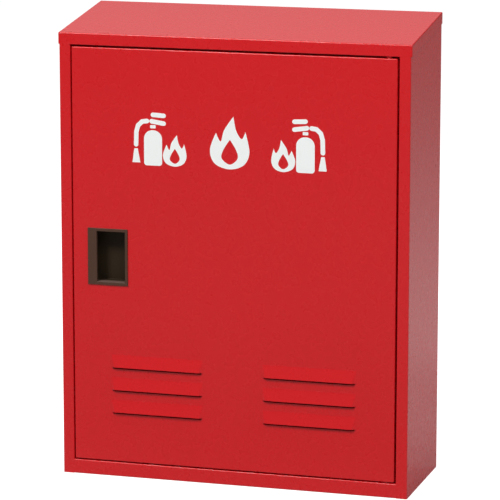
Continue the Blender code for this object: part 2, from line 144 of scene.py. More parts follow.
class Nodes(Tree):
    """The nodes of one material, written from left to right."""

    def __init__(self, name: str) -> None:
        """Starts a material with only its surface and its output.

        Args:
            name: the material's name.
        """
        self.material = bpy.data.materials.new(name)
        self.material.use_nodes = True
        super().__init__(self.material.node_tree)
        self.surface = self.tree.nodes["Principled BSDF"]
        self.output = self.tree.nodes["Material Output"]
        self.place = self.add("ShaderNodeTexCoord").outputs["Object"]

    def fix(self, **values: float) -> None:
        """Sets constants on the surface's sockets, with _ for a space in a socket's name."""
        for key, value in values.items():
            self.surface.inputs[key.replace("_", " ")].default_value = value

    def feed(self, **sources: Socket) -> None:
        """Joins sockets to the surface's own, with _ for a space in a socket's name."""
        for key, source in sources.items():
            self.join(source, self.surface.inputs[key.replace("_", " ")])

    def noise(self, scale: float, detail: float) -> Socket:
        """A noise on the object's own coordinates.

        Args:
            scale: waves in a metre.
            detail: how many finer layers it has.

        Returns:
            The socket with its value from 0 to 1.
        """
        texture = self.add("ShaderNodeTexNoise")
        texture.inputs["Scale"].default_value = scale
        texture.inputs["Detail"].default_value = detail
        self.join(self.place, texture.inputs["Vector"])
        return texture.outputs["Fac"]

    def mix(self, share: Socket, first: Colour, second: Colour) -> Socket:
        """Mixes two colours.

        Args:
            share: how much of the second colour shows.
            first: the colour at 0.
            second: the colour at 1.

        Returns:
            The colour socket.
        """
        node = self.add("ShaderNodeMix", data_type="RGBA")
        ends = [socket for socket in node.inputs if socket.type == "RGBA"]
        ends[0].default_value = (*first, 1)
        ends[1].default_value = (*second, 1)
        self.join(share, node.inputs[0])
        return next(socket for socket in node.outputs if socket.type == "RGBA")

    def blend(self, share: Socket, first: Socket, second: Colour) -> Socket:
        """Mixes a colour of another node with a plain one.

        Args:
            share: how much of the second colour shows.
            first: the socket with the colour at 0.
            second: the colour at 1.

        Returns:
            The colour socket.
        """
        result = self.mix(share, second, second)
        self.join(first, next(socket for socket in result.node.inputs if socket.type == "RGBA"))
        return result

    def bump(self, height: Socket, distance: float) -> Socket:
        """Adds a relief.

        Args:
            height: the relief's height from 0 to 1.
            distance: its full height in metres.

        Returns:
            The normal socket.
        """
        node = self.add("ShaderNodeBump")
        node.inputs["Distance"].default_value = distance
        self.join(height, node.inputs["Height"])
        return node.outputs["Normal"]


@dataclass(frozen=True)
class Finish:
    """Two close tones, a gloss that drifts and a fine relief.

    Scales are waves in a metre. The relief's height is in metres.
    """

    name: str
    base: Colour
    second: Colour
    tone_scale: float
    gloss: Pair
    gloss_scale: float
    relief_scale: float
    relief_height: float
    relief_detail: float = 1.0
    tone_detail: float = 3.0
    gloss_detail: float = 2.0
    metallic: float = 0.0
    refraction: float = 1.5
    specular: float = 0.5

    def tone(self, nodes: Nodes) -> Socket:
        """Mixes the two tones."""
        return nodes.mix(nodes.noise(self.tone_scale, self.tone_detail), self.base, self.second)

    def make(self) -> Material:
        """Builds the material.

        Returns:
            The material.
        """
        nodes = Nodes(self.name)
        nodes.fix(Metallic=self.metallic, IOR=self.refraction, Specular_IOR_Level=self.specular)
        gloss = nodes.noise(self.gloss_scale, self.gloss_detail)
        relief = nodes.noise(self.relief_scale, self.relief_detail)
        nodes.feed(
            Base_Color=self.tone(nodes),
            Roughness=nodes.span(gloss, *self.gloss),
            Normal=nodes.bump(relief, self.relief_height),
        )
        return nodes.material


@dataclass(frozen=True)
class RedEnamel(Finish):
    """Baked semi-gloss enamel on sheet steel, with an orange peel and a breath of tone."""

    name: str = "red_enamel"
    base: Colour = (0.645, 0.0063, 0.0102)
    second: Colour = (0.620, 0.0056, 0.0094)
    tone_scale: float = 5.0
    gloss: Pair = (0.26, 0.29)
    gloss_scale: float = 60.0
    relief_scale: float = 420.0
    relief_height: float = 0.000002


@dataclass(frozen=True)
class BrownPlastic(Finish):
    """Dark brown moulded plastic with a fine spark texture, with painted shade that makes it
    nearly black deep in the pocket and a painted highlight that pales the ledge facing upwards.
    """

    name: str = "brown_plastic_moulded"
    base: Colour = (0.075, 0.038, 0.025)
    second: Colour = (0.088, 0.046, 0.031)
    # painted shade: the colour deep in the pocket
    pocket_painted_shade: Colour = (0.033, 0.0212, 0.0110)
    # painted highlight: the colour of faces that look upwards
    ledge_painted_light: Colour = (0.156, 0.099, 0.080)
    tone_scale: float = 40.0
    gloss: Pair = (0.42, 0.55)
    gloss_scale: float = 200.0
    relief_scale: float = 2600.0
    relief_height: float = 0.000015
    refraction: float = 1.46
    specular: float = 0.15
    pocket_shade_depth: Pair = (0.010, 0.016)
    ledge_light_facing: Pair = (0.6, 0.9)

    def tone(self, nodes: Nodes) -> Socket:
        """Mixes the two tones, with a painted highlight that pales the ledge facing upwards and
        painted shade that darkens the pocket.

        Args:
            nodes: the material's nodes.

        Returns:
            The colour socket.
        """
        # Painted highlight: faces that look upwards get a paler brown, as if lit from above.
        normal = nodes.add("ShaderNodeNewGeometry").outputs["True Normal"]
        painted_light_share = nodes.span(nodes.axis(normal, "Z"), 0.0, 1.0, self.ledge_light_facing)
        face = nodes.blend(painted_light_share, super().tone(nodes), self.ledge_painted_light)
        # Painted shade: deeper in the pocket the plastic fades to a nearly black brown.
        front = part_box("handle_cup")[0][1]
        ends = (front + self.pocket_shade_depth[0], front + self.pocket_shade_depth[1])
        painted_shade_share = nodes.span(nodes.axis(nodes.place, "Y"), 0.0, 1.0, ends)
        return nodes.blend(painted_shade_share, face, self.pocket_painted_shade)


@dataclass(frozen=True)
class ZincPlate(Finish):
    """Bright zinc on pressed and turned steel, with a faint spangle."""

    name: str = "zinc_plate"
    base: Colour = (0.56, 0.57, 0.58)
    second: Colour = (0.44, 0.45, 0.47)
    tone_scale: float = 300.0
    gloss: Pair = (0.26, 0.44)
    gloss_scale: float = 500.0
    relief_scale: float = 1500.0
    relief_height: float = 0.000006
    relief_detail: float = 2.0
    metallic: float = 1.0


@dataclass(frozen=True)
class BlackPlastic(Finish):
    """Black moulded plastic of a magnet catch."""

    name: str = "black_plastic_moulded"
    base: Colour = (0.016, 0.016, 0.018)
    second: Colour = (0.026, 0.026, 0.028)
    tone_scale: float = 90.0
    gloss: Pair = (0.45, 0.60)
    gloss_scale: float = 260.0
    relief_scale: float = 2400.0
    relief_height: float = 0.00001


@dataclass(frozen=True)
class GreyRubber(Finish):
    """Matt grey rubber with a pale bloom."""

    name: str = "grey_rubber_matt"
    base: Colour = (0.055, 0.055, 0.058)
    second: Colour = (0.085, 0.085, 0.088)
    tone_scale: float = 400.0
    gloss: Pair = (0.75, 0.90)
    gloss_scale: float = 500.0
    relief_scale: float = 1800.0
    relief_height: float = 0.00002
    relief_detail: float = 2.0


@dataclass(frozen=True)
class WhitePrint(Finish):
    """White printed film with a faint grain."""

    name: str = "white_print"
    base: Colour = (0.93, 0.955, 0.94)
    second: Colour = (0.89, 0.92, 0.90)
    tone_scale: float = 30.0
    gloss: Pair = (0.35, 0.50)
    gloss_scale: float = 150.0
    relief_scale: float = 900.0
    relief_height: float = 0.000008


@dataclass(frozen=True)
class StudioWhite:
    """The pale floor, plain white to the camera where no shadow falls, its tone a painted pool
    of light: palest just behind the cabinet, dimmer in front and far behind.
    """

    # The floor's tones paint a pool of light around the cabinet.
    painted_pool_front: float = 0.36
    painted_pool_peak: float = 0.76
    painted_pool_far: float = 0.50
    painted_pool_near_span: Pair = (-0.3, 0.3)
    painted_pool_far_span: Pair = (1.5, 4.0)
    camera_glow: float = 0.80
    roughness: float = 0.9

    def make(self) -> Material:
        """Builds the material.

        Returns:
            The material.
        """
        nodes = Nodes("studio_floor")
        nodes.fix(Roughness=self.roughness, Specular_IOR_Level=0.0)
        # Painted pool of light: the tone rises from the front to just behind the cabinet and
        # falls again far behind.
        along = nodes.axis(nodes.place, "Y")
        near = nodes.span(along, self.painted_pool_front, self.painted_pool_peak, self.painted_pool_near_span)
        far = nodes.span(along, 0.0, self.painted_pool_peak - self.painted_pool_far, self.painted_pool_far_span)
        tone = nodes.add("ShaderNodeMath", operation="SUBTRACT")
        nodes.join(near, tone.inputs[0])
        nodes.join(far, tone.inputs[1])
        nodes.feed(Base_Color=tone.outputs["Value"])
        glow = nodes.add("ShaderNodeEmission")
        glow.inputs["Strength"].default_value = self.camera_glow
        both = nodes.add("ShaderNodeAddShader")
        nodes.join(nodes.surface.outputs[0], both.inputs[0])
        nodes.join(glow.outputs[0], both.inputs[1])
        seen = nodes.add("ShaderNodeLightPath")
        choice = nodes.add("ShaderNodeMixShader")
        nodes.join(seen.outputs["Is Camera Ray"], choice.inputs[0])
        nodes.join(nodes.surface.outputs[0], choice.inputs[1])
        nodes.join(both.outputs[0], choice.inputs[2])
        nodes.join(choice.outputs[0], nodes.output.inputs["Surface"])
        return nodes.material


class Bench:
    """The hand tools that select, open, edit, shade, copy and dress a piece."""

    sharp_fold: float = math.radians(50)
    normal_weight: int = 100

    @staticmethod
    def clear() -> None:
        """Leaves edit mode and deselects everything."""
        if bpy.context.object and bpy.context.object.mode != "OBJECT":
            bpy.ops.object.mode_set(mode="OBJECT")
        bpy.ops.object.select_all(action="DESELECT")

    @staticmethod
    def pick(piece: Piece) -> None:
        """Selects one piece and makes it active.

        Args:
            piece: the piece.
        """
        Bench.clear()
        bpy.context.view_layer.objects.active = piece
        piece.select_set(True)

    @staticmethod
    def edit(piece: Piece, kind: str = "VERT") -> None:
        """Opens a piece in edit mode with nothing selected.

        Args:
            piece: the piece.
            kind: what is selected there, VERT, EDGE or FACE.
        """
        Bench.pick(piece)
        bpy.ops.object.mode_set(mode="EDIT")
        bpy.ops.mesh.select_mode(type=kind)
        bpy.ops.mesh.select_all(action="DESELECT")

    @staticmethod
    def leave() -> None:
        """Goes back to object mode."""
        bpy.ops.object.mode_set(mode="OBJECT")

    @staticmethod
    def close(same_place: float = SAME_PLACE) -> None:
        """Joins the doubles of the piece that is open, turns its faces outwards and leaves it.

        Args:
            same_place: how far apart doubles may lie.
        """
        bpy.ops.mesh.select_all(action="SELECT")
        bpy.ops.mesh.remove_doubles(threshold=same_place)
        bpy.ops.mesh.normals_make_consistent(inside=False)
        Bench.leave()

    @staticmethod
    def take_points(piece: Piece, wanted: PlaceTest) -> int:
        """Selects the vertices at wanted places, in edit mode.

        Args:
            piece: the piece that is open.
            wanted: says of a place whether it is wanted.

        Returns:
            How many were selected.
        """
        mesh = bmesh.from_edit_mesh(piece.data)
        for vert in mesh.verts:
            vert.select_set(wanted(vert.co))
        mesh.select_flush(True)
        bmesh.update_edit_mesh(piece.data)
        return sum(vert.select for vert in mesh.verts)

    @staticmethod
    def take_faces(piece: Piece, wanted: FaceTest) -> None:
        """Selects the faces with a wanted centre and normal, in edit mode.

        Args:
            piece: the piece that is open.
            wanted: says of a centre and a normal whether the face is wanted.
        """
        mesh = bmesh.from_edit_mesh(piece.data)
        mesh.normal_update()
        chosen = [face for face in mesh.faces if wanted(face.calc_center_median(), face.normal)]
        for face in chosen:
            face.select_set(True)
        bmesh.update_edit_mesh(piece.data)

    @staticmethod
    def soften(piece: Piece, width: float, segments: int = 2, clamp: bool = True) -> None:
        """Rounds the sharp edges of a piece.

        Args:
            piece: the piece.
            width: the width of the round.
            segments: its facets.
            clamp: whether the width shrinks where edges lie close together.
        """
        Bench.pick(piece)
        bevel = piece.modifiers.new("soft_edges", "BEVEL")
        bevel.width = width
        bevel.segments = segments
        bevel.limit_method = "ANGLE"
        bevel.angle_limit = Bench.sharp_fold
        bevel.use_clamp_overlap = clamp
        bevel.miter_outer = "MITER_ARC"
        bpy.ops.object.modifier_apply(modifier=bevel.name)

    @staticmethod
    def shade(piece: Piece, angle: float = 40.0) -> None:
        """Shades bends round and leaves large flats flat.

        Args:
            piece: the piece.
            angle: the largest angle in degrees that is shaded round.
        """
        Bench.pick(piece)
        bpy.ops.object.shade_smooth_by_angle(angle=math.radians(angle))
        weighted = piece.modifiers.new("flat_flats", "WEIGHTED_NORMAL")
        weighted.keep_sharp = True
        weighted.weight = Bench.normal_weight
        bpy.ops.object.modifier_apply(modifier=weighted.name)

    @staticmethod
    def settle(piece: Piece) -> None:
        """Puts a piece's place, turn and size into its mesh."""
        Bench.pick(piece)
        bpy.ops.object.transform_apply(location=True, rotation=True, scale=True)

    @staticmethod
    def copy_of(piece: Piece, name: str, place: Vector, turn: float) -> Piece:
        """Copies a piece with its own mesh, and turns and places the copy.

        Args:
            piece: the piece, at the middle of the world.
            name: the copy's name.
            place: where the copy goes.
            turn: its turn about the X axis, in degrees.

        Returns:
            The copy.
        """
        Bench.pick(piece)
        bpy.ops.object.duplicate(linked=False)
        copy = bpy.context.object
        copy.name = name
        copy.rotation_euler = (math.radians(turn), 0, 0)
        copy.location = place
        Bench.settle(copy)
        return copy

    @staticmethod
    def fit(piece: Piece, body: Body, slot: Slot, material: Material) -> None:
        """Gives a finished piece its body and its material.

        Args:
            piece: the piece.
            body: what it rides on.
            slot: the record's slot that its finish comes from; not used.
            material: its material.
        """
        piece.data.materials.clear()
        piece.data.materials.append(material)
        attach(piece, body.value)


@dataclass
class SheetWork:
    """The folded sheets, with round bends, de-burred edges and welded corner joints."""

    edge_round: float = 0.0002
    flat_angle: float = 0.4
    bend: float = 0.0015
    seam: float = 0.0003
    end_reach: float = 0.00005
    level_reach: float = 0.0001
    stile_reach: float = 0.003

    def skin(self, node_name: str, pierced: FaceTest | None = None) -> Piece:
        """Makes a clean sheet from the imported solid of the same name.

        Args:
            node_name: the solid.
            pierced: says of a face's centre and normal whether it lies in a flat with holes,
                which keeps its triangles.

        Returns:
            The sheet, with the triangles of its other flats joined.
        """
        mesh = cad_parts[node_name].data.copy()
        sheet = bpy.data.objects.new(node_name + "_sheet", mesh)
        bpy.context.scene.collection.objects.link(sheet)
        Bench.edit(sheet)
        bpy.ops.mesh.customdata_custom_splitnormals_clear()
        bpy.ops.mesh.select_all(action="SELECT")
        bpy.ops.mesh.remove_doubles(threshold=SAME_PLACE)
        bpy.ops.mesh.select_all(action="DESELECT")
        bpy.ops.mesh.select_mode(type="FACE")
        plain = lambda centre, normal: not (pierced and pierced(centre, normal))
        Bench.take_faces(sheet, plain)
        bpy.ops.mesh.dissolve_limited(angle_limit=math.radians(self.flat_angle))
        Bench.leave()
        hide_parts(node_name)
        return sheet

    def reach(self, sheet: Piece, wanted: PlaceTest, shift: Vector) -> None:
        """Moves part of a sheet.

        Args:
            sheet: the sheet.
            wanted: says of a vertex's place whether it is moved.
            shift: how far.
        """
        Bench.edit(sheet)
        if Bench.take_points(sheet, wanted):
            bpy.ops.transform.translate(value=shift)
        Bench.leave()

    def finish(self, sheet: Piece) -> Piece:
        """Rounds the raw edges of a sheet and shades its bends.

        Args:
            sheet: the sheet.

        Returns:
            The same sheet.
        """
        Bench.soften(sheet, self.edge_round)
        Bench.shade(sheet)
        return sheet

    def plain(self, node_name: str) -> Piece:
        """A sheet that keeps its outline."""
        return self.finish(self.skin(node_name))

    def rail(self) -> Piece:
        """The bottom rail, welded flush into the bends of both stiles.

        Returns:
            The finished rail.
        """
        rail = self.skin("bottom_rail")
        low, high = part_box("bottom_rail")
        for side, end in ((-1, low[0]), (1, high[0])):
            shift = Vector((side * (self.bend + self.seam), 0, 0))
            self.reach(rail, lambda place: abs(place.x - end) < self.end_reach, shift)
        return self.finish(rail)

    def side(self, node_name: str) -> Piece:
        """A side whose stile runs up to the lid's front flange.

        Args:
            node_name: the side's solid.

        Returns:
            The finished side.
        """
        side = self.skin(node_name)
        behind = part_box(node_name)[0][1] + self.stile_reach
        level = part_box("roof_lid")[0][2] - self.seam
        near = lambda place: place.y < behind and abs(place.z - level) < self.level_reach
        self.reach(side, near, Vector((0, 0, self.seam)))
        return self.finish(side)


@dataclass
class CabinetShell:
    """The fixed box: sides, back, floor, rails, stops and lid."""

    work: SheetWork = field(default_factory=SheetWork)
    plain_sheets: tuple[str, ...] = (
        "back_panel",
        "floor_pan",
        "head_rail",
        "side_stop",
        "head_stop",
        "sill_stop",
        "roof_lid",
    )

    def build(self, red: Material) -> None:
        """Makes all sheets of the box.

        Args:
            red: the enamel.
        """
        sheets = [self.work.side("side_left"), self.work.side("side_right"), self.work.rail()]
        sheets += [self.work.plain(name) for name in self.plain_sheets]
        for sheet in sheets:
            Bench.fit(sheet, Body.CABINET, Slot.RED, red)


@dataclass
class DoorLeaf:
    """The folded door with its pressed louvres, and the stiffener behind it.

    Each row of louvre points is a level above the louvre's lip, a shift forwards and a shift
    upwards. Each layer of louvre points is its least and largest height over the door, and how
    much the layer is shortened at each end.
    """

    work: SheetWork = field(default_factory=SheetWork)
    sheet: float = 0.0012
    skin_depth: float = 0.0015
    flat_normal: float = 0.99
    lips: tuple[float, ...] = (0.0930, 0.1253, 0.1576)
    rows: tuple[Triple, ...] = (
        (0.01600, -0.00025, 0.00160),
        (0.01585, -0.00042, -0.00015),
        (0.01546, -0.00014, -0.00306),
        (0.01491, 0.00057, -0.00650),
    )
    row_reach: float = 0.00012
    hood_proud: Pair = (0.00005, 0.0040)
    groups: tuple[float, ...] = (-0.11005, 0.10935)
    half_length: float = 0.0680
    louvre_height: float = 0.020
    layers: tuple[Triple, ...] = (
        (0.0028, 0.0042, 0.0026),
        (0.0012, 0.0028, 0.0014),
        (0.0003, 0.0012, 0.0005),
    )

    def taper(self, door: Piece, front: float) -> None:
        """Draws the ends of each louvre out into gentle ramps.

        Args:
            door: the door's sheet.
            front: the door's front plane.
        """
        top = self.lips[-1] + self.louvre_height
        for centre in self.groups:
            for low, high, shorter in self.layers:
                across = lambda place: abs(place.x - centre) < self.half_length and place.z < top
                layer = lambda place: across(place) and front - high < place.y < front - low
                Bench.edit(door)
                Bench.take_points(door, layer)
                size = (1 - shorter / self.half_length, 1, 1)
                bpy.ops.transform.resize(value=size, center_override=(centre, 0, 0))
                Bench.leave()

    def at_row(self, level: float, front: float) -> PlaceTest:
        """Makes the test for the points of a row, on the louvre and on the flat beside it.

        Args:
            level: the row's level.
            front: the door's front plane.

        Returns:
            The test.
        """
        behind = front + 2 * self.sheet
        return lambda place: abs(place.z - level) < self.row_reach and place.y < behind

    def on_hood(self, level: float, front: float) -> PlaceTest:
        """Makes the test for the points of a row that stand out from the door.

        Args:
            level: the row's level.
            front: the door's front plane.

        Returns:
            The test.
        """
        near = self.at_row(level, front)
        least, largest = self.hood_proud
        return lambda place: near(place) and front - largest < place.y < front - least

    def draw_down(self, door: Piece, front: float) -> None:
        """Draws the top of each louvre out into a gentle ramp, as the press tool leaves it.

        Args:
            door: the door's sheet.
            front: the door's front plane.
        """
        for lip in self.lips:
            for rise, forwards, upwards in self.rows:
                level = lip + rise
                self.work.reach(door, self.at_row(level, front), Vector((0, 0, upwards)))
                level += upwards
                self.work.reach(door, self.on_hood(level, front), Vector((0, -forwards, 0)))

    def build(self, red: Material) -> None:
        """Makes both sheets of the door.

        Args:
            red: the enamel.
        """
        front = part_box("side_left")[0][1]
        behind = front + self.skin_depth
        pierced = lambda centre, normal: abs(normal.y) > self.flat_normal and centre.y < behind
        door = self.work.skin("door_pan", pierced)
        self.taper(door, front)
        self.draw_down(door, front)
        Bench.fit(self.work.finish(door), Body.DOOR, Slot.RED, red)
        Bench.fit(self.work.plain("door_stiffener"), Body.DOOR, Slot.RED, red)


@dataclass
class PivotCollars:
    """The painted spacing rings on both pivot pins, in the gaps above and below the door."""

    radius: float = 0.0045
    bore: float = 0.0024
    clearance: float = 0.0003
    edge_round: float = 0.0002
    turns: int = 40

    def ring(self, name: str, low: float, high: float, centre: Vector) -> Piece:
        """Spins one ring from its section.

        Args:
            name: its name.
            low: its lowest level.
            high: its highest level.
            centre: a point on its axis.

        Returns:
            The finished ring.
        """
        Bench.clear()
        axis = (centre.x, centre.y, (low + high) / 2)
        place = (centre.x + (self.radius + self.bore) / 2, *axis[1:])
        upright = (math.radians(90), 0, 0)
        bpy.ops.mesh.primitive_plane_add(size=1.0, location=place, rotation=upright)
        ring = bpy.context.object
        ring.name = name
        ring.scale = (self.radius - self.bore, high - low, 1)
        Bench.settle(ring)
        Bench.edit(ring)
        bpy.ops.mesh.select_all(action="SELECT")
        bpy.ops.mesh.delete(type="ONLY_FACE")
        bpy.ops.mesh.select_all(action="SELECT")
        bpy.ops.mesh.spin(steps=self.turns, angle=math.tau, center=axis, axis=(0, 0, 1))
        Bench.close()
        Bench.soften(ring, self.edge_round)
        Bench.shade(ring)
        return ring

    def build(self, red: Material) -> None:
        """Makes both rings.

        Args:
            red: the enamel.
        """
        for name, rail, edge in (("upper", "head_rail", 0), ("lower", "bottom_rail", 1)):
            pin_low, pin_high = (Vector(corner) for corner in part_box("pivot_pin_" + name))
            centre = (pin_low + pin_high) / 2
            rail_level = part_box(rail)[edge][2]
            door_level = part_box("door_pan")[1 - edge][2]
            low, high = sorted((rail_level, door_level))
            low, high = low + self.clearance, high - self.clearance
            ring = self.ring("pivot_collar_" + name, low, high, centre)
            Bench.fit(ring, Body.CABINET, Slot.RED, red)


@dataclass
class HandleCup:
    """The moulded recessed handle with its grip lip and deep pocket, and its clamp plate."""

    work: SheetWork = field(default_factory=SheetWork)
    rounds: tuple[tuple[str, float, int], ...] = (
        ("handle_cup", 0.00045, 3),
        ("handle_retainer", 0.0003, 2),
    )

    def build(self, brown: Material) -> None:
        """Rounds the edges of both mouldings and dresses them.

        Args:
            brown: the plastic.
        """
        for node_name, edge_round, facets in self.rounds:
            piece = self.work.skin(node_name)
            Bench.soften(piece, edge_round, facets, clamp=False)
            Bench.shade(piece)
            Bench.fit(piece, Body.DOOR, Slot.BROWN, brown)


@dataclass
class SmallFixings:
    """The spot welds of the back and of the door's stiffener, and the screws of the strike.

    Each step of a pressed or turned form is an inset, as a share of its radius, and a lift, as
    a share of its height.
    """

    turns: int = 24
    sunk: float = 0.0001
    smooth_angle: float = 30.0
    weld_radius: float = 0.0038
    weld_rise: float = 0.00045
    weld_foot: float = 0.00002
    weld_steps: tuple[Pair, ...] = ((0.16, 1.0), (0.12, 0.0), (0.16, -0.9))
    weld_count: int = 7
    head_radius: float = 0.0026
    head_rise: float = 0.0010
    head_wall: float = 0.6
    head_steps: tuple[Pair, ...] = ((0.14, 0.3), (0.24, 0.1), (0.24, 0.0))
    slot_depth: float = 0.55
    slot_width: float = 0.45
    back_inset: Pair = (0.008, 0.040)
    stiffener_inset: Pair = (0.005, 0.030)
    flange_sheet: float = 0.0012
    screw_from_pole: float = 0.0060
    screw_from_end: float = 0.008
    turn_to_back: float = -90.0

    def raise_face(self, rise: float) -> None:
        """Extrudes the selected face upwards, or downwards where the rise is negative."""
        bpy.ops.mesh.extrude_region_move(TRANSFORM_OT_translate={"value": (0, 0, rise)})

    def blank(self, name: str, radius: float, height: float) -> Piece:
        """Raises a round blank at the middle of the world, open with its top selected.

        Args:
            name: its name.
            radius: its radius.
            height: how far its top lies over the sheet.

        Returns:
            The blank.
        """
        Bench.clear()
        bpy.ops.mesh.primitive_circle_add(
            vertices=self.turns, radius=radius, fill_type="NGON", location=(0, 0, -self.sunk)
        )
        blank = bpy.context.object
        blank.name = name
        Bench.settle(blank)
        Bench.edit(blank, "FACE")
        bpy.ops.mesh.select_all(action="SELECT")
        self.raise_face(self.sunk + height)
        return blank

    def press(self, radius: float, height: float, steps: tuple[Pair, ...]) -> None:
        """Insets the selected face step by step, and lifts it after each inset.

        Args:
            radius: the form's radius.
            height: its height.
            steps: its steps.
        """
        for inset, lift in steps:
            bpy.ops.mesh.inset(thickness=radius * inset)
            if lift:
                bpy.ops.transform.translate(value=(0, 0, height * lift))

    def weld(self) -> Piece:
        """Presses one spot weld, a shallow dish with a raised rim.

        Returns:
            The weld, which faces upwards.
        """
        weld = self.blank("spot_weld", self.weld_radius, self.weld_foot)
        self.press(self.weld_radius, self.weld_rise, self.weld_steps)
        Bench.close()
        Bench.shade(weld, self.smooth_angle)
        return weld

    def screw(self) -> Piece:
        """Turns one pan head with a straight slot.

        Returns:
            The screw's head, which faces upwards.
        """
        head = self.blank("pan_head", self.head_radius, self.head_rise * self.head_wall)
        self.press(self.head_radius, self.head_rise, self.head_steps)
        self.raise_face(-self.head_rise * self.slot_depth)
        bpy.ops.transform.resize(value=(1, self.slot_width, 1))
        Bench.close()
        Bench.shade(head, self.smooth_angle)
        return head

    def row(self, name: str, model: Piece, places: list[Vector]) -> Piece:
        """Sets copies of a model on the back of a sheet and joins them.

        Args:
            name: the name of the joined piece.
            model: what is copied.
            places: where the copies stand.

        Returns:
            The joined piece.
        """
        copies = [
            Bench.copy_of(model, f"{name}_{number}", place, self.turn_to_back)
            for number, place in enumerate(places)
        ]
        Bench.pick(copies[0])
        for copy in copies:
            copy.select_set(True)
        bpy.ops.object.join()
        copies[0].name = name
        return copies[0]

    def weld_places(self, node_name: str, inset: Pair, plane: float) -> list[Vector]:
        """Finds the places of the welds along both edges of a sheet.

        Args:
            node_name: the sheet's solid.
            inset: how far the welds stay from its sides and from its ends.
            plane: the plane that they stand on.

        Returns:
            The places.
        """
        low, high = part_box(node_name)
        side, end = inset
        rise = (high[2] - low[2] - 2 * end) / (self.weld_count - 1)
        return [
            Vector((across, plane, low[2] + end + rise * number))
            for across in (low[0] + side, high[0] - side)
            for number in range(self.weld_count)
        ]

    def screw_places(self) -> list[Vector]:
        """Finds the places of both screws on the strike, beside the magnet's pole.

        Returns:
            The places.
        """
        low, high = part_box("catch_strike")
        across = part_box("magnet_pole")[0][0] - self.screw_from_pole
        levels = (low[2] + self.screw_from_end, high[2] - self.screw_from_end)
        return [Vector((across, high[1], level)) for level in levels]

    def build(self, finishes: dict[Slot, Material]) -> None:
        """Sets all welds and screws.

        Args:
            finishes: the materials by slot.
        """
        weld, screw = self.weld(), self.screw()
        back = self.weld_places("back_panel", self.back_inset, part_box("back_panel")[1][1])
        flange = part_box("door_stiffener")[0][1] + self.flange_sheet
        stiffener = self.weld_places("door_stiffener", self.stiffener_inset, flange)
        for name, model, places, body, slot in (
            ("back_welds", weld, back, Body.CABINET, Slot.RED),
            ("stiffener_welds", weld, stiffener, Body.DOOR, Slot.RED),
            ("strike_rivets", screw, self.screw_places(), Body.DOOR, Slot.ZINC),
        ):
            Bench.fit(self.row(name, model, places), body, slot, finishes[slot])
        for model in (weld, screw):
            Bench.pick(model)
            bpy.ops.object.delete()


class Mark(Enum):
    """What stands in each of the three white fields of the door, from the left."""

    EXTINGUISHER = "extinguisher"
    FLAME = "flame"
    MIRRORED = "extinguisher_mirrored"


